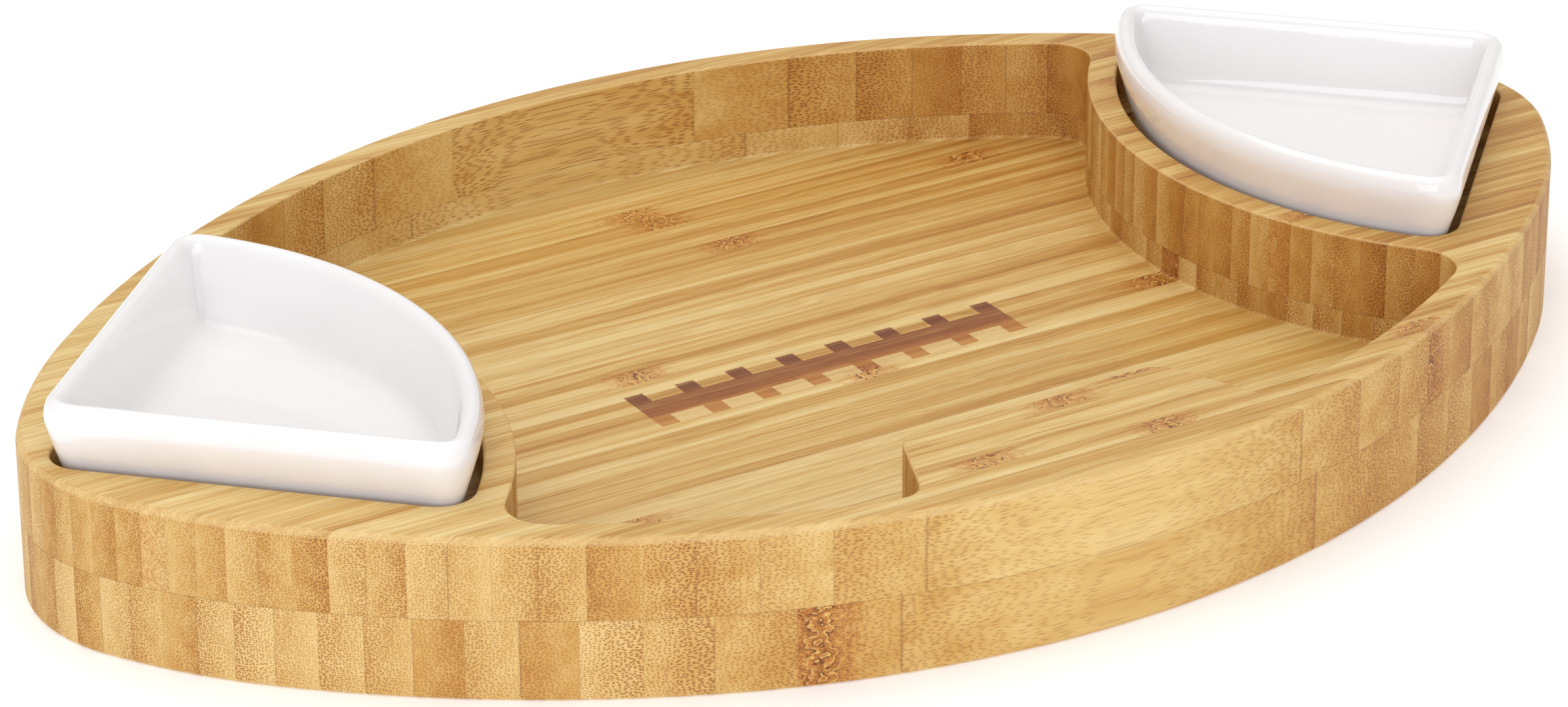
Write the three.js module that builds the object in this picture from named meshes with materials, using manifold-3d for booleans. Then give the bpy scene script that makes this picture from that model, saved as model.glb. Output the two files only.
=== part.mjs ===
// Chip and dip server: a football-shaped board of laminated bamboo with a deep chip well in the
// middle and a shallow pocket at each pointed end, and a loose glazed dip dish in each pocket.
//
// Units are millimetres. The length runs along X and the width along Y, +Z is up, and the origin
// is the centre of the flat underside. The board is two equal layers glued face to face, and each
// layer is glued up edge to edge from bamboo strips that run the whole length. Each board piece
// here is a bundle of two to four neighbouring strips, split wherever the well cuts through it.

import * as THREE from 'three';
import { mergeVertices } from 'three/addons/utils/BufferGeometryUtils.js';
import Module from 'manifold-3d';

// ---- driving dimensions -------------------------------------------------------------------

const HALF_LENGTH = 198;
const HALF_WIDTH = 124.1;
const BOARD_HEIGHT = 38;
const SEAM_Z = 19; // glue plane between the two layers

// The outline is four tangent arcs from the middle of a long side to a tip.
const CROWN_RADIUS = 225.5;
const CROWN_END = THREE.MathUtils.degToRad(25.7); // measured from +Y towards the tip
const FLANK_RADIUS = 267.5;
const FLANK_END = THREE.MathUtils.degToRad(43.4);
const TIP_RADIUS = 41;
const TOP_EDGE_RADIUS = 2;
const FOOT_EDGE_RADIUS = 1.2;

const UPPER_STRIP_COUNT = 47;
const LOWER_STRIP_COUNT = 38;
const UPPER_BUNDLES = [3, 3, 4, 4, 4, 4, 3, 4, 4, 4, 4, 3, 3]; // strips in each, back to front
const LOWER_BUNDLES = [3, 3, 3, 3, 3, 3, 2, 3, 3, 3, 3, 3, 3];

const RIM_WIDTH = 7.9;
const WELL_FLOOR_Z = 12.4;
const WELL_CORNER_RADIUS = 9.5;
const WELL_END_RADIUS = 102.7; // the well's bowed ends are centred on the tips

// The blank tab that the well leaves standing on the front rim.
const TAB_HALF_WIDTH = 34; // at the nose, before its corners are rounded
const TAB_NOSE_Y = -85.2;
const TAB_SIDE_SLOPE = 0.41; // each side spreads this much per unit towards the rim
const TAB_CORNER_RADIUS = 8;
const TAB_ROOT_RADIUS = 6;

// Each pocket is a quarter-circle sector centred on its tip, with rounded corners.
const POCKET = { radius: 95.7, inset: 1, corner: 8, vertex: 8 };
const POCKET_FLOOR_Z = 27;

// The dish is the same sector. Its profile runs up the outside, over the lip and down the inside:
// each pair is how far inside the widest outline it lies, and its height above the board's foot.
const DISH = { radius: 96.2, inset: 0.4, corner: 7, vertex: 8 };
const DISH_PROFILE = [
  [13.2, 28.2], [12.4, 27], [8.4, 27], [6.2, 27.7], [5, 29.6], [2.4, 38], [0.6, 43.9], [0, 46.4],
  [0.3, 49.1], [1.2, 51.2], [2.6, 52], [4, 51.4], [4.8, 49.7], [7, 38.4], [7.7, 35.5],
  [9, 33.4], [11.2, 32.5],
];

const CHORD_ERROR = 0.06; // how far a straight step may cut inside an arc
const LEAST_RADIUS = 0.8; // a corner that shrinks stops at this radius
const WELD = 1e-5; // points closer than this are one point

// Small arcs have a set number of steps. A loft needs it, since its rings must match.
const TAB_CORNER_STEPS = 5;
const TAB_ROOT_STEPS = 6;
const SECTOR_VERTEX_STEPS = 4;
const SECTOR_CORNER_STEPS = 5;
const SECTOR_ARC_STEPS = 9;
const BOARD_EDGE_STEPS = 2;

// ---- plan outlines ------------------------------------------------------------------------

function arc(centre, radius, start, end, steps) {
  const turn = Math.abs(end - start);
  const count = steps ?? Math.max(2, Math.ceil(turn / Math.sqrt((8 * CHORD_ERROR) / radius)));
  return new THREE.ArcCurve(centre.x, centre.y, radius, start, end, end < start).getPoints(count);
}

function direction(angle) {
  return new THREE.Vector2(Math.cos(angle), Math.sin(angle));
}

function mirrored(points, x, y) {
  return points.map((p) => new THREE.Vector2(p.x * x, p.y * y));
}

function withoutRepeats(points) {
  return points.filter((p, i) => p.distanceTo(points[(i + 1) % points.length]) > WELD);
}

// Completes a quarter outline that runs from the +Y axis to the +X axis.
function fourQuarters(quarter) {
  const back = mirrored(quarter, -1, 1).reverse();
  const frontLeft = mirrored(quarter, -1, -1);
  const frontRight = mirrored(quarter, 1, -1).reverse();
  return withoutRepeats([...quarter, ...frontRight, ...frontLeft, ...back]);
}

// The meeting point of two circles that has the larger y.
function circlesMeet(centreA, radiusA, centreB, radiusB) {
  const line = centreB.clone().sub(centreA);
  const gap = line.length();
  const along = (radiusA ** 2 - radiusB ** 2 + gap ** 2) / (2 * gap);
  const across = Math.sqrt(radiusA ** 2 - along ** 2);
  const unit = line.divideScalar(gap);
  const side = new THREE.Vector2(-unit.y, unit.x);
  if (side.y < 0) side.negate();
  return centreA.clone().addScaledVector(unit, along).addScaledVector(side, across);
}

function angleFrom(centre, point) {
  return Math.atan2(point.y - centre.y, point.x - centre.x);
}

const TIP = new THREE.Vector2(HALF_LENGTH, 0);
const CROWN_CENTRE = new THREE.Vector2(0, HALF_WIDTH - CROWN_RADIUS);
const CROWN_STOP = Math.PI / 2 - CROWN_END;
const FLANK_STOP = Math.PI / 2 - FLANK_END;
const FLANK_CENTRE = CROWN_CENTRE.clone()
  .addScaledVector(direction(CROWN_STOP), CROWN_RADIUS - FLANK_RADIUS);

// The shoulder arc is the one that touches both the flank arc's end and the tip arc.
function boardOutline() {
  const tipCentre = new THREE.Vector2(HALF_LENGTH - TIP_RADIUS, 0);
  const normal = direction(FLANK_STOP);
  const join = FLANK_CENTRE.clone().addScaledVector(normal, FLANK_RADIUS);
  const reach = join.clone().sub(tipCentre);
  const radius = (reach.lengthSq() - TIP_RADIUS ** 2) / (2 * (reach.dot(normal) - TIP_RADIUS));
  const centre = join.clone().addScaledVector(normal, -radius);
  const shoulderStop = angleFrom(centre, tipCentre);
  return fourQuarters([
    ...arc(CROWN_CENTRE, CROWN_RADIUS, Math.PI / 2, CROWN_STOP),
    ...arc(FLANK_CENTRE, FLANK_RADIUS, CROWN_STOP, FLANK_STOP),
    ...arc(centre, radius, FLANK_STOP, shoulderStop),
    ...arc(tipCentre, TIP_RADIUS, shoulderStop, 0),
  ]);
}

function wellOutline() {
  const crown = CROWN_RADIUS - RIM_WIDTH;
  const flank = FLANK_RADIUS - RIM_WIDTH;
  const corner = circlesMeet(
    FLANK_CENTRE, flank - WELL_CORNER_RADIUS, TIP, WELL_END_RADIUS + WELL_CORNER_RADIUS);
  const cornerStart = angleFrom(FLANK_CENTRE, corner);
  const endStart = angleFrom(TIP, corner);
  return fourQuarters([
    ...arc(CROWN_CENTRE, crown, Math.PI / 2, CROWN_STOP),
    ...arc(FLANK_CENTRE, flank, CROWN_STOP, cornerStart),
    ...arc(corner, WELL_CORNER_RADIUS, cornerStart, endStart - Math.PI),
    ...arc(TIP, WELL_END_RADIUS, endStart, Math.PI),
  ]);
}

// Half of the tab from its nose to the rim, then mirrored. The root runs out beyond the well's
// edge, so that the tab joins the rim without a step.
function tabOutline() {
  const sideAngle = Math.atan(TAB_SIDE_SLOPE);
  const along = new THREE.Vector2(Math.sin(sideAngle), -Math.cos(sideAngle));
  const outward = new THREE.Vector2(Math.cos(sideAngle), Math.sin(sideAngle));
  const nose = new THREE.Vector2(TAB_HALF_WIDTH, TAB_NOSE_Y);
  const shoulder = TAB_CORNER_RADIUS * Math.tan((Math.PI / 2 - sideAngle) / 2);
  const corner = new THREE.Vector2(TAB_HALF_WIDTH - shoulder, TAB_NOSE_Y - TAB_CORNER_RADIUS);

  // The root fillet touches the side and the well's edge, whose front arc mirrors the back one.
  const rimCentre = new THREE.Vector2(0, -CROWN_CENTRE.y);
  const start = nose.clone().addScaledVector(outward, TAB_ROOT_RADIUS);
  const reach = start.clone().sub(rimCentre);
  const fit = CROWN_RADIUS - RIM_WIDTH - TAB_ROOT_RADIUS;
  const half = reach.dot(along);
  const travel = -half + Math.sqrt(half ** 2 - reach.lengthSq() + fit ** 2);
  const root = start.addScaledVector(along, travel);
  const rootStop = angleFrom(rimCentre, root) + 2 * Math.PI;
  const beyond = root.clone().addScaledVector(direction(rootStop), TAB_ROOT_RADIUS + RIM_WIDTH / 2);

  const halfTab = [
    ...arc(corner, TAB_CORNER_RADIUS, Math.PI / 2, sideAngle, TAB_CORNER_STEPS),
    ...arc(root, TAB_ROOT_RADIUS, sideAngle + Math.PI, rootStop, TAB_ROOT_STEPS),
    beyond,
    new THREE.Vector2(0, -HALF_WIDTH),
  ];
  return withoutRepeats([...halfTab, ...mirrored(halfTab, -1, 1).reverse()]);
}

// A quarter-circle sector on the +X side, its arc towards the middle of the board. grow moves
// the whole outline outwards by that much, and every result has the same number of points.
function sectorOutline({ radius, inset, corner, vertex }, grow = 0) {
  const outer = radius + grow;
  const side = inset - grow;
  const cornerRadius = Math.max(corner + grow, LEAST_RADIUS);
  const vertexRadius = Math.max(vertex + grow, LEAST_RADIUS);
  const vertexCentre = new THREE.Vector2(TIP.x - (side + vertexRadius) * Math.SQRT2, 0);
  const offset = side + cornerRadius;
  const length = Math.sqrt((outer - cornerRadius) ** 2 - offset ** 2);
  const cornerCentre = TIP.clone()
    .addScaledVector(direction(0.75 * Math.PI), length)
    .addScaledVector(direction(1.25 * Math.PI), offset);
  const arcStart = angleFrom(TIP, cornerCentre);
  const half = [
    ...arc(vertexCentre, vertexRadius, 0, Math.PI / 4, SECTOR_VERTEX_STEPS),
    ...arc(cornerCentre, cornerRadius, Math.PI / 4, arcStart, SECTOR_CORNER_STEPS),
    ...arc(TIP, outer, arcStart, Math.PI, SECTOR_ARC_STEPS).slice(1),
  ];
  return withoutRepeats([...half, ...mirrored(half, 1, -1).reverse()]);
}

// ---- solids -------------------------------------------------------------------------------

const wasm = await Module();
wasm.setup();

function toSolid(geometry) {
  geometry.deleteAttribute('normal');
  geometry.deleteAttribute('uv');
  const merged = mergeVertices(geometry, WELD);
  return new wasm.Manifold(new wasm.Mesh({
    numProp: 3,
    vertProperties: new Float32Array(merged.attributes.position.array),
    triVerts: new Uint32Array(merged.index.array),
  }));
}

function toGeometry(solid) {
  const { vertProperties, triVerts } = solid.getMesh();
  const geometry = new THREE.BufferGeometry();
  geometry.setAttribute('position', new THREE.BufferAttribute(vertProperties, 3));
  geometry.setIndex(new THREE.BufferAttribute(triVerts, 1));
  geometry.computeVertexNormals();
  return geometry;
}

function prism(outline, bottom, top) {
  const shape = new THREE.Shape(outline);
  const geometry = new THREE.ExtrudeGeometry(shape, { depth: top - bottom, bevelEnabled: false });
  return toSolid(geometry.translate(0, 0, bottom));
}

// A prism whose two ends are rounded over by the given radius.
function roundedPrism(outline, bottom, top, radius) {
  const geometry = new THREE.ExtrudeGeometry(new THREE.Shape(outline), {
    depth: top - bottom - 2 * radius,
    bevelThickness: radius,
    bevelSize: radius,
    bevelOffset: -radius,
    bevelSegments: BOARD_EDGE_STEPS,
  });
  return toSolid(geometry.translate(0, 0, bottom + radius));
}

function slab(low, high) {
  const size = new THREE.Vector3().subVectors(high, low);
  const centre = new THREE.Vector3().addVectors(low, high).multiplyScalar(0.5);
  const geometry = new THREE.BoxGeometry(size.x, size.y, size.z);
  return toSolid(geometry.translate(centre.x, centre.y, centre.z));
}

// A closed skin through rings of equal length, with a flat cap on the first and the last.
function loft(rings) {
  const count = rings[0].points.length;
  const positions = rings.flatMap(({ points, z }) => points.flatMap((p) => [p.x, p.y, z]));
  const index = [];
  for (let ring = 0; ring + 1 < rings.length; ring += 1) {
    for (let i = 0; i < count; i += 1) {
      const a = ring * count + i;
      const b = ring * count + ((i + 1) % count);
      index.push(a, b, b + count, a, b + count, a + count);
    }
  }
  const last = (rings.length - 1) * count;
  for (const [a, b, c] of THREE.ShapeUtils.triangulateShape(rings[0].points, [])) {
    index.push(c, b, a);
  }
  for (const [a, b, c] of THREE.ShapeUtils.triangulateShape(rings.at(-1).points, [])) {
    index.push(last + a, last + b, last + c);
  }
  const geometry = new THREE.BufferGeometry();
  geometry.setAttribute('position', new THREE.Float32BufferAttribute(positions, 3));
  geometry.setIndex(index);
  geometry.computeVertexNormals();
  return geometry;
}

// ---- the board ----------------------------------------------------------------------------

const BEYOND = 10; // how far a cutter runs past the face that it cuts through
const TAB_REACH = TAB_HALF_WIDTH + 16; // past the sides of the tab, in the open well

function wellCutter() {
  const well = prism(wellOutline(), WELL_FLOOR_Z, BOARD_HEIGHT + BEYOND);
  const tab = prism(tabOutline(), WELL_FLOOR_Z - BEYOND, BOARD_HEIGHT + 2 * BEYOND);
  return well.subtract(tab);
}

function pocketCutter(side) {
  const outline = mirrored(sectorOutline(POCKET), side, 1);
  const pocket = side < 0 ? outline.reverse() : outline;
  return prism(pocket, POCKET_FLOOR_Z, BOARD_HEIGHT + BEYOND);
}

function halfSpace(bottom, top) {
  const reach = HALF_LENGTH + BEYOND;
  return slab(new THREE.Vector3(-reach, -reach, bottom), new THREE.Vector3(reach, reach, top));
}

function upperLayer() {
  const blank = roundedPrism(boardOutline(), SEAM_Z - BEYOND, BOARD_HEIGHT, TOP_EDGE_RADIUS);
  return blank
    .intersect(halfSpace(SEAM_Z, BOARD_HEIGHT + BEYOND))
    .subtract(wellCutter())
    .subtract(pocketCutter(1))
    .subtract(pocketCutter(-1));
}

function lowerLayer() {
  const blank = roundedPrism(boardOutline(), 0, SEAM_Z + BEYOND, FOOT_EDGE_RADIUS);
  return blank.intersect(halfSpace(-BEYOND, SEAM_Z)).subtract(wellCutter());
}

// The y values between the bundles of a layer, from the back edge to the front edge.
function glueLines(bundles, stripCount) {
  const stripWidth = (2 * HALF_WIDTH) / stripCount;
  const lines = [HALF_WIDTH + BEYOND];
  let strips = 0;
  for (const bundle of bundles.slice(0, -1)) {
    strips += bundle;
    lines.push(Math.fround(HALF_WIDTH - strips * stripWidth));
  }
  return [...lines, -HALF_WIDTH - BEYOND];
}

function bundleOf(layer, lines, row, left, right) {
  const low = new THREE.Vector3(left, lines[row + 1], -BEYOND);
  const high = new THREE.Vector3(right, lines[row], BOARD_HEIGHT + BEYOND);
  return layer.intersect(slab(low, high));
}

const server = new THREE.Group();

function addPiece(name, geometry, material) {
  const mesh = new THREE.Mesh(geometry, material);
  mesh.name = name;
  server.add(mesh);
}

// Neighbouring bundles are cut from different canes, so their tones differ: 0 is the palest.
function bamboo(tone) {
  const honey = new THREE.Color(0xd9ac66);
  const caramel = new THREE.Color(0xb98243);
  return new THREE.MeshStandardMaterial({
    color: honey.lerp(caramel, tone),
    roughness: 0.55,
    metalness: 0,
  });
}

// A tone for each row, in steps of one cycle-th, so that neighbours are never alike.
function shuffledTone(row, cycle) {
  return ((row * (cycle - 2)) % cycle) / cycle;
}

function numbered(name, row) {
  return `${name}_${String(row).padStart(2, '0')}`;
}

function addUpperLayer() {
  const layer = upperLayer();
  const lines = glueLines(UPPER_BUNDLES, UPPER_STRIP_COUNT);
  const reach = HALF_LENGTH + BEYOND;
  const lastRow = UPPER_BUNDLES.length - 1;
  addPiece('upper_back_rail', toGeometry(bundleOf(layer, lines, 0, -reach, reach)), bamboo(0.3));
  for (let row = 1; row < lastRow; row += 1) {
    const middle = lines[row + 1] < TAB_NOSE_Y ? TAB_REACH : 0;
    const tone = shuffledTone(row, 7);
    const left = bundleOf(layer, lines, row, -reach, -middle);
    const right = bundleOf(layer, lines, row, middle, reach);
    addPiece(numbered('upper_left_strips', row), toGeometry(left), bamboo(tone));
    addPiece(numbered('upper_right_strips', row), toGeometry(right), bamboo(1 - tone));
  }
  const nose = bundleOf(layer, lines, lastRow - 2, -TAB_REACH, TAB_REACH);
  const neck = bundleOf(layer, lines, lastRow - 1, -TAB_REACH, TAB_REACH);
  addPiece('tab_nose_strips', toGeometry(nose), bamboo(0.2));
  addPiece('tab_neck_strips', toGeometry(neck), bamboo(0.6));
  addPiece('upper_front_rail', toGeometry(bundleOf(layer, lines, lastRow, -reach, reach)),
    bamboo(0.4));
}

function addLowerLayer() {
  const layer = lowerLayer();
  const lines = glueLines(LOWER_BUNDLES, LOWER_STRIP_COUNT);
  const reach = HALF_LENGTH + BEYOND;
  LOWER_BUNDLES.forEach((_, row) => {
    const strips = bundleOf(layer, lines, row, -reach, reach);
    addPiece(numbered('lower_strips', row + 1), toGeometry(strips), bamboo(shuffledTone(row, 5)));
  });
}

// ---- the dishes ---------------------------------------------------------------------------

function addDish(name, side) {
  const glaze = new THREE.MeshStandardMaterial({ color: 0xf6f5f2, roughness: 0.12, metalness: 0 });
  const rings = DISH_PROFILE.map(([inside, z]) => {
    const outline = mirrored(sectorOutline(DISH, -inside), side, 1);
    return { points: side < 0 ? outline.reverse() : outline, z };
  });
  addPiece(name, loft(rings), glaze);
}

addUpperLayer();
addLowerLayer();
addDish('dip_dish_left', -1);
addDish('dip_dish_right', 1);

export default server;
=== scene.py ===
"""Chip and dip server: a laminated bamboo board with a chip well and two loose glazed dip dishes.

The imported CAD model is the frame. Each bundle of bamboo strips and each dish is rebuilt here as a
fine mesh in the place of its CAD node, and gets a procedural material. Lengths are in metres,
except where a comment says millimetres.
"""

import math

import bmesh
import bpy
from mathutils import Matrix, Vector


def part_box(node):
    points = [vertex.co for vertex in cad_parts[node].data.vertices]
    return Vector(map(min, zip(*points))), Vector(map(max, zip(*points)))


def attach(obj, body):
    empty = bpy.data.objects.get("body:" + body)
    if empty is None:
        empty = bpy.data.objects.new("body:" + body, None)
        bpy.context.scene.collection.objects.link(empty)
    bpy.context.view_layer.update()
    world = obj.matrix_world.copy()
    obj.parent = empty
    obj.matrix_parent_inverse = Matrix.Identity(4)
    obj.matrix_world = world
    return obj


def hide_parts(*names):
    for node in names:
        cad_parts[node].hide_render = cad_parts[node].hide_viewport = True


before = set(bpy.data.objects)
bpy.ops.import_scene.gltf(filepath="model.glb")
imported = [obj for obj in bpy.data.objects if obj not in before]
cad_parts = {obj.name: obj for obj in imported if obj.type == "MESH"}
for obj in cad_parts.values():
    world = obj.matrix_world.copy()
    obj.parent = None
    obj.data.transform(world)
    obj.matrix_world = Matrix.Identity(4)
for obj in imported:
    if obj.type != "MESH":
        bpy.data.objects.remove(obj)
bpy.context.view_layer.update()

MM = 0.001

# ---- sizes --------------------------------------------------------------------------------

UPPER_NODES = sorted(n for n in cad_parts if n.startswith(("upper_", "tab_")))
LOWER_NODES = sorted(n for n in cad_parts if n.startswith("lower_"))

HALF_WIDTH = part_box("upper_back_rail")[1].y
TOP_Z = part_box("upper_back_rail")[1].z
SEAM_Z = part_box("upper_back_rail")[0].z
HALF_LENGTH = max(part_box(n)[1].x for n in LOWER_NODES)

# These repeat the CAD model's driving dimensions.
CROWN_RADIUS = 225.5 * MM
CROWN_END = math.radians(25.7)
FLANK_RADIUS = 267.5 * MM
FLANK_END = math.radians(43.4)
TIP_RADIUS = 41 * MM
RIM_WIDTH = 7.9 * MM
WELL_FLOOR_Z = 12.4 * MM
WELL_CORNER_RADIUS = 9.5 * MM
WELL_END_RADIUS = 102.7 * MM
TAB_HALF_WIDTH = 34 * MM
TAB_NOSE_Y = -85.2 * MM
TAB_SIDE_SLOPE = 0.41
TAB_CORNER_RADIUS = 8 * MM
TAB_ROOT_RADIUS = 6 * MM
POCKET_FLOOR_Z = 27 * MM
UPPER_STRIPS = 47
LOWER_STRIPS = 38

TOP_EDGE = 2 * MM  # round-over of the outer top edge
FOOT_EDGE = 1.2 * MM
MOUTH_EDGE = 0.7 * MM  # broken edge round the well and the pockets
FLOOR_FILLET = 0.8 * MM
ARC_STEP = 1.6 * MM  # between an outline's points
EDGE_STEPS = 7  # in a rounded edge or a fillet
DISH_POINTS = 200  # round each ring of a dish
PROFILE_STEPS = 3  # to each stretch of a dish's profile
LEAST_CORNER = 0.8 * MM  # of a dish's outline at any height
WELD = 1e-7  # points nearer than this are one point
CREASE = math.radians(35)  # edges bent by more than this are shaded sharp

POCKET = {"radius": 95.7 * MM, "inset": 1 * MM, "corner": 8 * MM, "vertex": 8 * MM}
DISH = {"radius": 96.2 * MM, "inset": 0.4 * MM, "corner": 7 * MM, "vertex": 8 * MM}

# The dish's profile, up the outside, over the lip and down the inside: how far inside the widest
# outline each point lies, and its height above the board's underside, in millimetres. The foot
# ring is left unglazed up to the given height.
UNGLAZED_TOP = 27.3 * MM
FOOT_PROFILE = [(13.4, 28.2), (12.7, 28.1), (12.4, 27.3), (11.9, 27), (8.9, 27), (8.2, 27.15)]
WALL_PROFILE = [
    (8.2, 27.15), (6.3, 27.9), (5.1, 29.6), (3.7, 33.8), (2.4, 38), (1.3, 41.7), (0.5, 44.5), (0, 46.8),
    (0.1, 48.8), (0.7, 50.7), (1.7, 51.7), (2.6, 52), (3.6, 51.65), (4.4, 50.7), (4.9, 49.2),
    (5.6, 45.6), (6.3, 42), (7, 38.4), (7.6, 36), (8.7, 33.9), (10.6, 32.8), (13, 32.5),
]

# ---- plan outlines ------------------------------------------------------------------------
# An outline is a closed chain of arcs. Each arc is (centre, radius, start, end, swell), and its
# radius grows by swell times whatever the whole outline is moved outwards by.


def direction(angle):
    return Vector((math.cos(angle), math.sin(angle)))


def angle_from(centre, point):
    return math.atan2(point.y - centre.y, point.x - centre.x)


def backwards(arcs):
    """The same arcs run backwards."""
    return [(c, r, end, start, s) for c, r, start, end, s in reversed(arcs)]


def mirror(arcs, x, y):
    """The arcs mirrored in one axis or both, still in an order that runs on from end to start."""
    flipped = []
    for centre, radius, start, end, swell in arcs:
        if x < 0:
            start, end = math.pi - start, math.pi - end
        if y < 0:
            start, end = -start, -end
        place = Vector((centre.x * x, centre.y * y))
        flipped.append((place, radius, start, end, swell))
    return flipped if x * y > 0 else backwards(flipped)


def outline(arcs, grow=0.0):
    """The outline's points, moved outwards by grow. The number of points doesn't depend on grow."""
    points = []
    for centre, radius, start, end, swell in arcs:
        steps = max(2, math.ceil(radius * abs(end - start) / ARC_STEP))
        for i in range(steps + 1):
            angle = start + (end - start) * i / steps
            point = centre + direction(angle) * (radius + swell * grow)
            if not points or (point - points[-1]).length > WELD:
                points.append(point)
    if (points[0] - points[-1]).length < WELD:
        points.pop()
    return points


def circles_meet(centre_a, radius_a, centre_b, radius_b):
    """The meeting point of two circles that has the larger y."""
    line = centre_b - centre_a
    gap = line.length
    along = (radius_a**2 - radius_b**2 + gap**2) / (2 * gap)
    across = math.sqrt(radius_a**2 - along**2)
    unit = line / gap
    side = Vector((-unit.y, unit.x))
    if side.y < 0:
        side = -side
    return centre_a + unit * along + side * across


TIP = Vector((HALF_LENGTH, 0))
CROWN_CENTRE = Vector((0, HALF_WIDTH - CROWN_RADIUS))
CROWN_STOP = math.pi / 2 - CROWN_END
FLANK_STOP = math.pi / 2 - FLANK_END
FLANK_CENTRE = CROWN_CENTRE + direction(CROWN_STOP) * (CROWN_RADIUS - FLANK_RADIUS)


def board_arcs():
    """The board's outline. One more arc, fitted here, joins each flank to the tip."""
    tip_centre = Vector((HALF_LENGTH - TIP_RADIUS, 0))
    normal = direction(FLANK_STOP)
    join = FLANK_CENTRE + normal * FLANK_RADIUS
    reach = join - tip_centre
    radius = (reach.length_squared - TIP_RADIUS**2) / (2 * (reach.dot(normal) - TIP_RADIUS))
    centre = join - normal * radius
    shoulder_stop = angle_from(centre, tip_centre)
    quarter = [
        (CROWN_CENTRE, CROWN_RADIUS, math.pi / 2, CROWN_STOP, 1),
        (FLANK_CENTRE, FLANK_RADIUS, CROWN_STOP, FLANK_STOP, 1),
        (centre, radius, FLANK_STOP, shoulder_stop, 1),
        (tip_centre, TIP_RADIUS, shoulder_stop, 0, 1),
    ]
    return quarter + mirror(quarter, 1, -1) + mirror(quarter, -1, -1) + mirror(quarter, -1, 1)


def tab_arcs(rim_centre, rim_radius):
    """The right half of the tab, from the middle of its nose to the rim, and where it ends."""
    side_angle = math.atan(TAB_SIDE_SLOPE)
    along = Vector((math.sin(side_angle), -math.cos(side_angle)))
    outward = Vector((math.cos(side_angle), math.sin(side_angle)))
    shoulder = TAB_CORNER_RADIUS * math.tan((math.pi / 2 - side_angle) / 2)
    corner = Vector((TAB_HALF_WIDTH - shoulder, TAB_NOSE_Y - TAB_CORNER_RADIUS))
    start = Vector((TAB_HALF_WIDTH, TAB_NOSE_Y)) + outward * TAB_ROOT_RADIUS
    reach = start - rim_centre
    half = reach.dot(along)
    fit = rim_radius - TAB_ROOT_RADIUS
    root = start + along * (-half + math.sqrt(half**2 - reach.length_squared + fit**2))
    rim_angle = angle_from(rim_centre, root)
    arcs = [
        (corner, TAB_CORNER_RADIUS, math.pi / 2, side_angle, -1),
        (root, TAB_ROOT_RADIUS, side_angle + math.pi, rim_angle + 2 * math.pi, 1),
    ]
    return arcs, rim_angle


def well_arcs():
    """The chip well's outline, with the tab standing in its front."""
    crown = CROWN_RADIUS - RIM_WIDTH
    flank = FLANK_RADIUS - RIM_WIDTH
    reach = WELL_END_RADIUS + WELL_CORNER_RADIUS
    corner = circles_meet(FLANK_CENTRE, flank - WELL_CORNER_RADIUS, TIP, reach)
    corner_start = angle_from(FLANK_CENTRE, corner)
    end_start = angle_from(TIP, corner)
    corner_end = [
        (FLANK_CENTRE, flank, CROWN_STOP, corner_start, 1),
        (corner, WELL_CORNER_RADIUS, corner_start, end_start - math.pi, 1),
        (TIP, WELL_END_RADIUS, end_start, math.pi, -1),
    ]
    back = [(CROWN_CENTRE, crown, math.pi / 2, CROWN_STOP, 1)] + corner_end
    rim_centre = Vector((0, -CROWN_CENTRE.y))
    half_tab, rim_angle = tab_arcs(rim_centre, crown)
    front = [(rim_centre, crown, -CROWN_STOP, rim_angle, 1)]
    front_half = mirror(corner_end, 1, -1) + front + backwards(half_tab)
    return back + front_half + mirror(back + front_half, -1, 1)


def sector_arcs(radius, inset, corner, vertex, side):
    """A quarter-circle sector centred on a tip, with its straight sides set in and its corners rounded."""
    vertex_centre = Vector((TIP.x - (inset + vertex) * math.sqrt(2), 0))
    offset = inset + corner
    length = math.sqrt((radius - corner) ** 2 - offset**2)
    along_side = direction(math.radians(135))
    into_sector = direction(math.radians(225))
    corner_centre = TIP + along_side * length + into_sector * offset
    arc_start = angle_from(TIP, corner_centre)
    half = [
        (vertex_centre, vertex, 0, math.pi / 4, 1),
        (corner_centre, corner, math.pi / 4, arc_start, 1),
        (TIP, radius, arc_start, math.pi, 1),
    ]
    whole = half + mirror(half, 1, -1)
    return whole if side > 0 else mirror(whole, -1, 1)


def grown_sector(spec, grow, side):
    """A sector grown by an amount that may be larger than its corner radii."""
    return sector_arcs(
        spec["radius"] + grow,
        spec["inset"] - grow,
        max(spec["corner"] + grow, LEAST_CORNER),
        max(spec["vertex"] + grow, LEAST_CORNER),
        side,
    )


# ---- mesh making --------------------------------------------------------------------------


def ring(bm, points, z):
    """New vertices at an outline's points, at one height."""
    return [bm.verts.new((p.x, p.y, z)) for p in points]


def skin(bm, rings):
    """Quads from each ring of vertices to the next."""
    for low, high in zip(rings, rings[1:]):
        count = len(low)
        for i in range(count):
            j = (i + 1) % count
            bm.faces.new((low[i], low[j], high[j], high[i]))


def cover(bm, *loops):
    """A flat face inside the first loop of vertices and outside the others."""
    edges = []
    for loop in loops:
        edges += [bm.edges.get(pair) for pair in zip(loop, loop[1:] + loop[:1])]
    bmesh.ops.triangle_fill(bm, use_beauty=True, edges=edges, normal=(0, 0, 1))


def edge_over(radius, z, outwards):
    """The steps (move outwards, height) of a rounded edge that ends at height z."""
    steps = []
    for i in range(EDGE_STEPS + 1):
        angle = math.pi / 2 * i / EDGE_STEPS
        steps.append((outwards * radius * (1 - math.cos(angle)), z - radius + radius * math.sin(angle)))
    return steps


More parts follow.
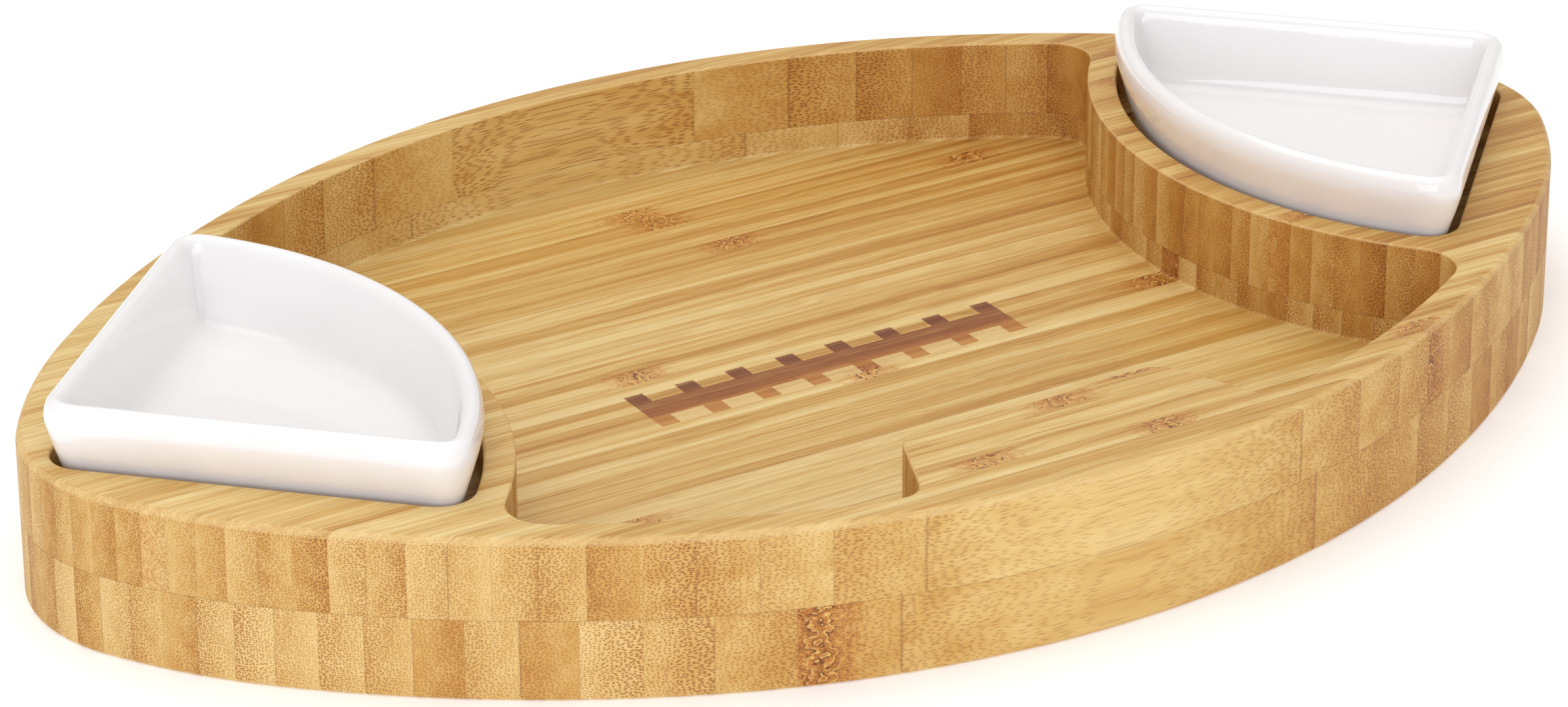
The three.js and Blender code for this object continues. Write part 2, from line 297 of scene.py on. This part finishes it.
def fillet_up(radius, z):
    """The steps of a hollow fillet from a floor at height z to the wall above it."""
    steps = []
    for i in range(EDGE_STEPS + 1):
        angle = math.pi / 2 * i / EDGE_STEPS
        steps.append((-radius * (1 - math.sin(angle)), z + radius * (1 - math.cos(angle))))
    return steps


def rings_of(bm, arcs, steps):
    """A ring of vertices for each step (move outwards, height)."""
    return [ring(bm, outline(arcs, grow), z) for grow, z in steps]


def upper_layer():
    """The whole upper layer, with the well through it and the two blind pockets."""
    bm = bmesh.new()
    board = rings_of(bm, board_arcs(), [(0, SEAM_Z)] + edge_over(TOP_EDGE, TOP_Z, -1))
    well = rings_of(bm, well_arcs(), [(0, SEAM_Z)] + edge_over(MOUTH_EDGE, TOP_Z, 1))
    mouths = [well[-1]]
    skin(bm, board)
    skin(bm, well)
    for side in (-1, 1):
        steps = fillet_up(FLOOR_FILLET, POCKET_FLOOR_Z) + edge_over(MOUTH_EDGE, TOP_Z, 1)
        pocket = rings_of(bm, sector_arcs(**POCKET, side=side), steps)
        skin(bm, pocket)
        cover(bm, pocket[0])
        mouths.append(pocket[-1])
    cover(bm, board[-1], *mouths)
    cover(bm, board[0], well[0])
    bmesh.ops.recalc_face_normals(bm, faces=bm.faces)
    return bm


def lower_layer():
    """The whole lower layer, with the bottom of the well in it."""
    bm = bmesh.new()
    foot = [(grow, abs(z)) for grow, z in reversed(edge_over(FOOT_EDGE, 0, -1))]
    board = rings_of(bm, board_arcs(), foot + [(0, SEAM_Z)])
    well = rings_of(bm, well_arcs(), fillet_up(FLOOR_FILLET, WELL_FLOOR_Z) + [(0, SEAM_Z)])
    skin(bm, board)
    skin(bm, well)
    cover(bm, board[0])
    cover(bm, well[0])
    cover(bm, board[-1], well[-1])
    bmesh.ops.recalc_face_normals(bm, faces=bm.faces)
    return bm


def cut_to(bm, place, normal):
    """Throws away what lies on the normal's side of a plane, and closes the cut."""
    everything = bm.verts[:] + bm.edges[:] + bm.faces[:]
    bmesh.ops.bisect_plane(
        bm, geom=everything, dist=WELD, plane_co=place, plane_no=normal, clear_outer=True)
    open_edges = [e for e in bm.edges if e.is_boundary]
    bmesh.ops.holes_fill(bm, edges=open_edges, sides=0)


def islands(bm):
    """The mesh's separate bodies, as sets of vertices."""
    left = set(bm.verts)
    while left:
        island = set()
        stack = [left.pop()]
        while stack:
            vert = stack.pop()
            island.add(vert)
            for edge in vert.link_edges:
                other = edge.other_vert(vert)
                if other in left:
                    left.remove(other)
                    stack.append(other)
        yield island


def bundle_mesh(layer, low, high):
    """The part of a layer that one CAD node covers."""
    bm = layer.copy()
    if high.y < HALF_WIDTH - MM:
        cut_to(bm, (0, high.y, 0), (0, 1, 0))
    if low.y > -HALF_WIDTH + MM:
        cut_to(bm, (0, low.y, 0), (0, -1, 0))
    stray = []
    for island in islands(bm):
        middle = sum(v.co.x for v in island) / len(island)
        if not low.x - MM < middle < high.x + MM:
            stray += island
    bmesh.ops.delete(bm, geom=stray, context="VERTS")
    bmesh.ops.recalc_face_normals(bm, faces=bm.faces)
    return bm


def finish_piece(name, bm, node, body, slot, materials):
    """Turns a bmesh into a smooth shaded piece that stands for its CAD node."""
    mesh = bpy.data.meshes.new(name)
    for edge in bm.edges:
        edge.smooth = len(edge.link_faces) == 2 and edge.calc_face_angle(0) < CREASE
    for face in bm.faces:
        face.smooth = True
    bm.to_mesh(mesh)
    bm.free()
    piece = bpy.data.objects.new(name, mesh)
    bpy.context.scene.collection.objects.link(piece)
    for material in materials:
        mesh.materials.append(material)
    normals = piece.modifiers.new("flat faces stay flat", "WEIGHTED_NORMAL")
    normals.keep_sharp = True
    normals.weight = 100
    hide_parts(node)
    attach(piece, body)
    return piece


# ---- shader building ----------------------------------------------------------------------


class Graph:
    """Adds shader nodes to a new material. Each method returns the new node's output socket."""

    def __init__(self, name):
        self.material = bpy.data.materials.new(name)
        self.material.use_nodes = True
        self.tree = self.material.node_tree
        self.surface = self.tree.nodes["Principled BSDF"]

    def feed(self, socket, value):
        """Links a socket to the value, or sets it where the value is a plain one."""
        if isinstance(value, bpy.types.NodeSocket):
            self.tree.links.new(value, socket)
        else:
            socket.default_value = value

    def node(self, kind, settings=(), inputs=(), output=0):
        made = self.tree.nodes.new(kind)
        for key, value in dict(settings).items():
            setattr(made, key, value)
        for key, value in dict(inputs).items():
            self.feed(made.inputs[key], value)
        return made.outputs[output]

    def set(self, **inputs):
        """Feeds the surface shader's inputs, whose names are written with underscores."""
        for key, value in inputs.items():
            self.feed(self.surface.inputs[key.replace("_", " ")], value)

    def math(self, operation, a, b=0.0, c=0.0):
        """One Math node. Only COMPARE uses c, which is how far apart a and b may be."""
        return self.node("ShaderNodeMath", {"operation": operation}, {0: a, 1: b, 2: c})

    def add(self, a, b):
        return self.math("ADD", a, b)

    def times(self, a, b):
        return self.math("MULTIPLY", a, b)

    def less(self, a, b):
        return self.math("SUBTRACT", a, b)

    def rise(self, value, low, high):
        """0 below low, 1 above high, and smooth between. High may be the smaller one."""
        return self.node(
            "ShaderNodeMapRange",
            {"interpolation_type": "SMOOTHSTEP"},
            {0: value, 1: low, 2: high, 3: 0.0, 4: 1.0})

    def spread(self, value, low, high):
        """A value from 0 to 1 stretched to run from low to high."""
        return self.node("ShaderNodeMapRange", {}, {0: value, 1: 0.0, 2: 1.0, 3: low, 4: high})

    def place(self):
        """The point's coordinates on the piece, in millimetres."""
        point = self.node("ShaderNodeTexCoord", output="Object")
        scaled = self.node(
            "ShaderNodeVectorMath", {"operation": "SCALE"}, {0: point, "Scale": 1 / MM})
        split = self.tree.nodes.new("ShaderNodeSeparateXYZ")
        self.feed(split.inputs[0], scaled)
        return split.outputs[0], split.outputs[1], split.outputs[2]

    def normal(self):
        true_normal = self.node("ShaderNodeNewGeometry", output="True Normal")
        split = self.tree.nodes.new("ShaderNodeSeparateXYZ")
        self.feed(split.inputs[0], true_normal)
        return split.outputs[0], split.outputs[1], split.outputs[2]

    def vector(self, x, y, z):
        return self.node("ShaderNodeCombineXYZ", {}, {0: x, 1: y, 2: z})

    def noise(self, vector, scale, detail, roughness=0.5):
        return self.node(
            "ShaderNodeTexNoise", {},
            {"Vector": vector, "Scale": scale, "Detail": detail, "Roughness": roughness})

    def chance(self, number, seed):
        """A random value from 0 to 1 for each whole number."""
        return self.node(
            "ShaderNodeTexWhiteNoise", {"noise_dimensions": "1D"}, {"W": self.add(number, seed)})

    def blend(self, share, a, b, kind="MIX"):
        """Colour a with a share of colour b. Inputs 6 and 7 of a Mix node are its colours."""
        mixed = self.tree.nodes.new("ShaderNodeMix")
        mixed.data_type = "RGBA"
        mixed.blend_type = kind
        self.feed(mixed.inputs[0], share)
        self.feed(mixed.inputs[6], a)
        self.feed(mixed.inputs[7], b)
        return mixed.outputs[2]

    def mix(self, share, a, b):
        """The number a with a share of the number b."""
        return self.node("ShaderNodeMix", {"data_type": "FLOAT"}, {0: share, 2: a, 3: b})

    def ramp(self, value, stops):
        """The colour at a value among stops of (position, colour)."""
        made = self.tree.nodes.new("ShaderNodeValToRGB")
        elements = made.color_ramp.elements
        while len(elements) < len(stops):
            elements.new(0.5)
        for element, (position, colour) in zip(elements, stops):
            element.position = position
            element.color = colour
        self.feed(made.inputs[0], value)
        return made.outputs[0]

    def bump(self, height, distance, strength):
        """Raises the surface by a height, which the distance in metres multiplies."""
        raised = self.node(
            "ShaderNodeBump", {}, {"Height": height, "Distance": distance, "Strength": strength})
        self.feed(self.surface.inputs["Normal"], raised)


def srgb(red, green, blue):
    """A colour written as 8-bit sRGB, in the linear values that shaders use."""
    linear = []
    for channel in (red, green, blue):
        value = channel / 255
        linear.append(value / 12.92 if value <= 0.04045 else ((value + 0.055) / 1.055) ** 2.4)
    return (*linear, 1.0)


# ---- bamboo -------------------------------------------------------------------------------
# Solid laminated bamboo: fibres along X, strips side by side along Y. The fibres fill the whole
# solid, so a cut across them shows dots, a slanted cut shows dashes and a cut along them shows
# streaks, as on a real board. Lengths in these shaders are in millimetres.

CREAM = srgb(232, 204, 140)
STRAW = srgb(220, 185, 114)
HONEY = srgb(206, 161, 84)
GOLD = srgb(190, 138, 60)
CARAMEL = srgb(164, 105, 38)
TONES = [(0.1, CREAM), (0.33, STRAW), (0.52, HONEY), (0.74, GOLD), (0.98, CARAMEL)]

# These multiply the wood's colour.
DOT_TINT = srgb(186, 132, 80)
END_GRAIN_TINT = srgb(238, 220, 192)
HALO_TINT = srgb(228, 178, 112)
GLUE_TINT = srgb(140, 84, 40)

# These are mixed into it.
JOINT_PALE = srgb(230, 184, 100)
JOINT_DARK = srgb(112, 58, 18)
TORN_PALE = srgb(240, 206, 146)

JOINT_GAP = 210.0  # from one cane joint to the next along a strip
JOINTS_SHOWN = 0.38  # the share of them that can be seen
FIBRE_WANDER = 1.1  # to each side
GLUE_LINE = 0.13  # half its width, soft edges included
GLUE_CORE = 0.02  # half its darkest part
ROUND_OVER_START = (TOP_Z - TOP_EDGE) / MM
WOOD_BUMP = 0.11 * MM


class Strips:
    """Where a point is in a layer of strips, and which way its surface faces.

    cane_joints and fibres add what they work out, because the steps after them need it too.
    """

    def __init__(self, g, strips, seed):
        self.seed = seed
        self.strips = strips
        self.x, self.y, self.z = g.place()
        normal_x, _, self.normal_z = g.normal()
        self.end_grain = g.rise(g.math("ABSOLUTE", normal_x), 0.04, 0.6)
        self.on_wall = g.rise(g.math("ABSOLUTE", self.normal_z), 0.6, 0.3)
        half_width = HALF_WIDTH / MM
        self.width = 2 * half_width / strips
        self.count = g.math("DIVIDE", g.less(half_width, self.y), self.width)
        self.strip = g.math("FLOOR", self.count)
        self.share = g.math("FRACT", self.count)  # how far across its strip
        self.shift = g.times(self.strip, 7.31)  # so that no two strips have the same pattern
        flip = g.math("GREATER_THAN", g.chance(self.strip, seed + 3.7), 0.5)
        self.outer_side = g.mix(flip, self.share, g.less(1.0, self.share))  # 1 by the cane's skin


def stretched(g, s, along, across, up):
    """The point's place with each axis scaled."""
    return g.vector(g.times(s.x, along), g.times(s.y, across), g.times(s.z, up))


def cane_joints(g, s):
    """Short bands in some strips where the fibres swirl, each with a warm stained zone round it."""
    turns = g.add(g.math("DIVIDE", s.x, JOINT_GAP), g.chance(s.strip, s.seed + 9.1))
    s.from_joint = g.times(g.math("ABSOLUTE", g.less(g.math("FRACT", turns), 0.5)), JOINT_GAP)
    pick = g.add(g.times(g.math("FLOOR", turns), 13.7), g.times(s.strip, 3.3))
    shown = g.math("LESS_THAN", g.chance(pick, s.seed + 5.5), JOINTS_SHOWN)
    s.speck = g.noise(stretched(g, s, 0.5, 1.1, 1.1), 1.0, 2, 0.65)
    ragged = g.add(s.from_joint, g.spread(s.speck, -9.0, 9.0))
    s.joint = g.times(g.rise(ragged, 6.5, 1.0), shown)
    s.halo = g.times(shown, g.rise(ragged, 11.0, 3.0))


def fibres(g, s):
    """Dark fibre bundles and streaks, which wander slowly and swirl at the cane joints."""
    slow = g.noise(stretched(g, s, 0.035, 0.1, 0.1), 1.0, 2, 0.4)
    wander = g.spread(slow, -FIBRE_WANDER, FIBRE_WANDER)
    swirl = g.times(s.joint, g.spread(s.speck, -2.4, 2.4))
    across = g.add(g.add(s.y, wander), g.add(swirl, s.shift))
    up = g.add(g.less(s.z, wander), swirl)
    bundles = g.node(
        "ShaderNodeTexVoronoi", {"voronoi_dimensions": "2D"},
        {"Vector": g.vector(g.times(across, 2.15), g.times(up, 1.85), 0.0),
         "Scale": 1.0, "Randomness": 0.72})
    bold = g.spread(g.chance(s.strip, s.seed + 6.2), 0.55, 1.0)
    size = g.times(g.spread(s.outer_side, 0.2, 0.36), g.spread(s.end_grain, 0.78, 1.04))
    s.dot = g.times(g.rise(g.less(bundles, size), 0.12, -0.12), bold)
    along = g.times(s.x, 0.018)
    s.fine = g.noise(g.vector(along, g.times(across, 2.4), g.times(up, 2.0)), 1.0, 3, 0.7)
    s.broad = g.noise(
        g.vector(g.times(along, 0.3), g.times(across, 0.45), g.times(up, 0.2)), 1.0, 2)


def strip_tone(g, s):
    """0 to 1 from pale to dark: each strip's own tone, drifting along it, with streaks on top. The tone
    also darkens steadily towards the right end, partly as painted shade.
    """
    drift = g.noise(g.vector(g.times(s.x, 0.006), s.shift, s.seed), 1.0, 1)
    tone = g.add(g.times(g.chance(s.strip, s.seed + 0.31), 0.38), g.times(drift, 0.38))
    # Darker steadily towards the right end (+x): partly the wood's own tone, partly painted light on the
    # brighter left end and painted shade on the dimmer right end.
    tone = g.add(tone, g.times(s.x, 0.0007))
    tone = g.add(tone, g.times(g.less(s.broad, 0.5), g.spread(s.on_wall, 0.9, 0.5)))
    tone = g.add(tone, g.times(g.less(s.fine, 0.5), g.spread(s.on_wall, 1.05, 0.3)))
    return g.add(tone, g.times(s.outer_side, 0.12))


def joint_rings(g, s, wood):
    """Crowded curved lines in the cane joints, dark on one side and pale on the other."""
    wood = g.blend(g.times(s.halo, 0.7), wood, HALO_TINT, "MULTIPLY")
    curl = g.noise(stretched(g, s, 0.22, 0.42, 0.42), 1.0, 2, 0.55)
    rings = g.math("FRACT", g.times(g.add(s.from_joint, g.spread(curl, -5.5, 5.5)), 0.36))
    wood = g.blend(g.times(s.joint, g.rise(rings, 0.6, 0.98)), wood, JOINT_PALE)
    return g.blend(g.times(s.joint, g.rise(rings, 0.36, 0.05)), wood, JOINT_DARK)


def glue_lines(g, s):
    """1 on a glue line between strips, or on the glue plane between the layers."""
    to_edge = g.times(g.math("MINIMUM", s.share, g.less(1.0, s.share)), s.width)
    clear = g.chance(g.math("ROUND", s.count), s.seed + 2.2)
    inside = g.math("COMPARE", s.count, s.strips / 2, s.strips / 2 - 0.5)
    line = g.times(g.times(g.rise(to_edge, GLUE_LINE, GLUE_CORE), clear), inside)
    to_seam = g.math("ABSOLUTE", g.less(s.z, SEAM_Z / MM))
    return g.math("MAXIMUM", line, g.times(g.rise(to_seam, GLUE_LINE, GLUE_CORE), s.on_wall))


def bamboo(name, strips, seed, laces=False):
    """The material of one layer, which may have the burned laces in it."""
    g = Graph(name)
    s = Strips(g, strips, seed)
    cane_joints(g, s)
    fibres(g, s)
    wood = g.ramp(strip_tone(g, s), TONES)
    wood = g.blend(g.times(s.dot, g.spread(s.on_wall, 0.34, 0.84)), wood, DOT_TINT, "MULTIPLY")
    wood = g.blend(g.times(s.end_grain, 0.5), wood, END_GRAIN_TINT, "MULTIPLY")
    wood = joint_rings(g, s, wood)
    glue = glue_lines(g, s)
    wood = g.blend(g.times(glue, 0.34), wood, GLUE_TINT, "MULTIPLY")

    # The round-over of the outer top edge is paler, and slightly torn by the sanding.
    tilted = g.times(g.rise(s.normal_z, 0.12, 0.45), g.rise(s.normal_z, 0.985, 0.8))
    edge = g.times(tilted, g.rise(s.z, ROUND_OVER_START - 0.2, ROUND_OVER_START + 0.3))
    torn = g.noise(g.vector(s.x, s.y, s.z), 1.9, 2, 0.7)
    wood = g.blend(g.times(edge, g.spread(torn, 0.0, 0.7)), wood, TORN_PALE)
    if laces:
        wood = burned_laces(g, wood, s)

    relief = g.add(g.times(s.dot, g.spread(s.on_wall, -0.15, -0.6)), g.times(s.fine, 0.35))
    relief = g.less(relief, g.times(glue, 0.5))
    relief = g.add(relief, g.times(g.times(s.joint, s.speck), 0.5))
    relief = g.add(relief, g.times(g.times(edge, torn), 2.6))
    g.bump(relief, WOOD_BUMP, 0.8)
    dull = g.add(g.times(s.end_grain, 0.14), g.times(s.dot, 0.08))
    g.set(Base_Color=wood, Roughness=g.add(g.spread(s.fine, 0.34, 0.5), dull))
    g.set(IOR=1.47)
    return g.material


# ---- burned laces -------------------------------------------------------------------------
# The mark in the well floor is burned in: a long bar with ticks across it, in millimetres.

LACE_LEFT = -48.3
LACE_BACK = 8.0
LACE_PERIOD = 13.44
LACE_TICK = 4.9  # a tick's width along the bar
LACE_TICKS = 8
LACE_LENGTH = LACE_PERIOD * (LACE_TICKS - 1) + LACE_TICK
LACE_TICK_DEPTH = 4.7  # how far the ticks stand out on each side of the bar
LACE_BAR_DEPTH = 8.0
LACE_BAR_END = LACE_TICK_DEPTH + LACE_BAR_DEPTH
LACE_DEPTH = LACE_BAR_END + LACE_TICK_DEPTH
LACE_SOFT = 0.12  # how soft the burn's edges are

# The burn is deepest along the far ticks and fades towards the near side. The gaps between the
# near ticks were masked, and stayed paler than the wood around them.
BURN_TINTS = [
    (0.1, srgb(150, 96, 56)), (0.3, srgb(168, 116, 70)), (0.52, srgb(184, 132, 84)),
    (0.75, srgb(222, 180, 130)),
]
MASKED_PALE = srgb(228, 198, 138)


def within(g, value, low, high):
    """1 between low and high, with soft edges."""
    after = g.rise(value, low - LACE_SOFT, low + LACE_SOFT)
    return g.times(after, g.rise(value, high + LACE_SOFT, high - LACE_SOFT))


def burned_laces(g, wood, s):
    blur = g.spread(g.noise(g.vector(s.x, s.y, s.z), 2.2, 1), -0.18, 0.18)
    along = g.add(g.less(s.x, LACE_LEFT), blur)
    down = g.add(g.less(LACE_BACK, s.y), blur)
    from_floor = g.math("ABSOLUTE", g.less(s.z, WELL_FLOOR_Z / MM))
    inside = g.times(within(g, along, 0.0, LACE_LENGTH), within(g, down, 0.0, LACE_DEPTH))
    inside = g.times(inside, g.rise(from_floor, 0.3, 0.1))
    repeat = g.times(g.math("FRACT", g.math("DIVIDE", along, LACE_PERIOD)), LACE_PERIOD)
    tick = within(g, repeat, -1.0, LACE_TICK)
    bar = within(g, down, LACE_TICK_DEPTH, LACE_BAR_END)
    mark = g.times(g.math("MAXIMUM", tick, bar), inside)
    uneven = g.noise(g.vector(g.times(s.x, 0.12), g.times(s.y, 1.4), s.z), 1.0, 2)
    burn = g.ramp(g.math("DIVIDE", down, LACE_DEPTH), BURN_TINTS)
    strength = g.math("MINIMUM", g.times(mark, g.spread(uneven, 0.75, 1.15)), 1.0)
    wood = g.blend(strength, wood, burn, "MULTIPLY")
    below_bar = g.rise(down, LACE_BAR_END - LACE_SOFT, LACE_BAR_END + LACE_SOFT)
    gap = g.times(g.times(inside, g.less(1.0, tick)), below_bar)
    return g.blend(g.times(gap, 0.5), wood, MASKED_PALE)


# ---- glaze and bisque ---------------------------------------------------------------------


def glaze():
    """White glaze: glassy, faintly rippled and faintly clouded."""
    g = Graph("white_glaze")
    x, y, z = g.place()
    here = g.vector(x, y, z)
    cloud = g.noise(here, 0.05, 2)
    base = g.blend(cloud, srgb(239, 236, 235), srgb(245, 242, 241))
    ripple = g.noise(here, 0.09, 2)
    g.bump(ripple, 0.5 * MM, 0.5)
    g.set(Base_Color=base, Roughness=g.spread(cloud, 0.06, 0.12))
    g.set(IOR=1.52, Coat_Weight=0.35, Coat_Roughness=0.03)
    return g.material


def bisque():
    """The unglazed foot ring."""
    g = Graph("bisque_foot")
    x, y, z = g.place()
    grain = g.noise(g.vector(x, y, z), 2.5, 3, 0.7)
    g.set(Base_Color=g.blend(grain, srgb(224, 214, 198), srgb(238, 231, 219)), Roughness=0.8)
    g.bump(grain, 0.08 * MM, 0.6)
    return g.material


# ---- dish shape ---------------------------------------------------------------------------


def smooth_through(profile, steps):
    """A Catmull-Rom curve through the profile's points, with steps to each stretch."""
    ends = [profile[0], *profile, profile[-1]]
    curve = [profile[0]]
    for before, start, end, after in zip(ends, ends[1:], ends[2:], ends[3:]):
        for i in range(1, steps + 1):
            t = i / steps
            point = []
            for a, b, c, d in zip(before, start, end, after):
                point.append(0.5 * (
                    2 * b + (c - a) * t + (2 * a - 5 * b + 4 * c - d) * t * t
                    + (3 * b - a - 3 * c + d) * t**3))
            curve.append(tuple(point))
    return curve


def even_points(points, count):
    """A closed outline resampled to a set number of evenly spaced points."""
    lengths = [0.0]
    for a, b in zip(points, points[1:] + points[:1]):
        lengths.append(lengths[-1] + (b - a).length)
    result = []
    at = 0
    for i in range(count):
        wanted = lengths[-1] * i / count
        while lengths[at + 1] < wanted:
            at += 1
        start, end = points[at], points[(at + 1) % len(points)]
        result.append(start.lerp(end, (wanted - lengths[at]) / (lengths[at + 1] - lengths[at])))
    return result


def dish(side):
    """A whole dish. Its second material slot is for the unglazed foot ring."""
    bm = bmesh.new()
    profile = FOOT_PROFILE[:-1] + smooth_through(WALL_PROFILE, PROFILE_STEPS)
    rings = []
    for inside, z in profile:
        points = outline(grown_sector(DISH, -inside * MM, side))
        rings.append(ring(bm, even_points(points, DISH_POINTS), z * MM))
    skin(bm, rings)
    cover(bm, rings[0])
    cover(bm, rings[-1])
    bmesh.ops.recalc_face_normals(bm, faces=bm.faces)
    for face in bm.faces:
        low = all(v.co.z < UNGLAZED_TOP for v in face.verts)
        face.material_index = 1 if low and face.normal.z < -0.5 else 0
    return bm


# ---- build --------------------------------------------------------------------------------


def build_board():
    layers = [
        (UPPER_NODES, upper_layer(), "upper_bamboo", bamboo("bamboo_upper", UPPER_STRIPS, 11.0)),
        (LOWER_NODES, lower_layer(), "lower_bamboo", bamboo("bamboo_lower", LOWER_STRIPS, 47.0, True)),
    ]
    for nodes, layer, slot, material in layers:
        for node in nodes:
            low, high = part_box(node)
            bm = bundle_mesh(layer, low, high)
            finish_piece("bamboo_" + node, bm, node, "board", slot, [material])
        layer.free()


def build_dishes():
    materials = [glaze(), bisque()]
    for side, name in ((-1, "left"), (1, "right")):
        node = f"dip_dish_{name}"
        finish_piece(f"glazed_dish_{name}", dish(side), node, f"{name}_dish", "glaze", materials)


build_board()
build_dishes()

# ---- stage, lights and camera ---------------------------------------------------------------

scene = bpy.context.scene
scene.view_settings.view_transform = "Standard"

FLOOR_REACH = 4.0


def add_floor():
    """A pale floor that glows a little, so that it runs into the white background."""
    mesh = bpy.data.meshes.new("floor")
    far = FLOOR_REACH
    corners = [(-far, -far, 0), (far, -far, 0), (far, far, 0), (-far, far, 0)]
    mesh.from_pydata(corners, [], [(0, 1, 2, 3)])
    floor = bpy.data.objects.new("floor", mesh)
    scene.collection.objects.link(floor)
    g = Graph("pale_floor")
    g.set(Base_Color=(0.93, 0.93, 0.93, 1), Roughness=0.9)
    g.set(Emission_Color=(1, 1, 1, 1), Emission_Strength=0.22)
    mesh.materials.append(g.material)


def add_softbox(name, place, target, size, power, colour):
    light = bpy.data.lights.new(name, "AREA")
    light.shape = "RECTANGLE"
    light.size, light.size_y = size
    light.energy = power
    light.color = colour
    lamp = bpy.data.objects.new(name, light)
    lamp.location = place
    lamp.rotation_euler = (Vector(target) - Vector(place)).to_track_quat("-Z", "Y").to_euler()
    scene.collection.objects.link(lamp)


def add_world():
    world = bpy.data.worlds.new("studio")
    world.use_nodes = True
    background = world.node_tree.nodes["Background"]
    background.inputs["Color"].default_value = (1, 1, 1, 1)
    background.inputs["Strength"].default_value = 0.7
    scene.world = world


CAMERA_AZIMUTH = math.radians(-31.105)
CAMERA_ELEVATION = math.radians(25.258)
CAMERA_ROLL = math.radians(-0.472)
CAMERA_TARGET = Vector((-0.0015, 0.0369, 0))
CAMERA_DISTANCE = 1.3797
FOCAL_LENGTH = 134.22  # millimetres, on a sensor 36 mm wide
SHIFT_X = 0.0321892  # in widths of the frame
SHIFT_Y = 0.00104646


def add_camera():
    """A long lens. The frame is cropped off centre, so the lens is shifted a little."""
    azimuth, elevation, roll = CAMERA_AZIMUTH, CAMERA_ELEVATION, CAMERA_ROLL
    back = Vector((
        math.sin(azimuth) * math.cos(elevation),
        -math.cos(azimuth) * math.cos(elevation),
        math.sin(elevation)))
    level = Vector((math.cos(azimuth), math.sin(azimuth), 0))
    upright = back.cross(level)
    right = level * math.cos(roll) + upright * math.sin(roll)
    up = upright * math.cos(roll) - level * math.sin(roll)
    data = bpy.data.cameras.new("camera")
    data.lens = FOCAL_LENGTH
    data.sensor_width = 36.0
    data.shift_x = SHIFT_X
    data.shift_y = SHIFT_Y
    data.clip_start = 0.05
    data.clip_end = 20.0
    camera = bpy.data.objects.new("camera", data)
    camera.matrix_world = Matrix.Translation(CAMERA_TARGET + back * CAMERA_DISTANCE) @ Matrix(
        (right, up, back)).transposed().to_4x4()
    scene.collection.objects.link(camera)
    scene.camera = camera


add_floor()
add_world()
add_softbox("overhead", (-0.1, 0.3, 1.5), (0, 0, 0), (1.8, 1.4), 9, (1, 0.985, 0.94))
add_softbox("front", (-1.0, -1.4, 0.6), (0, 0, 0.03), (1.6, 1.0), 10.3, (0.97, 1, 1.12))
add_camera()
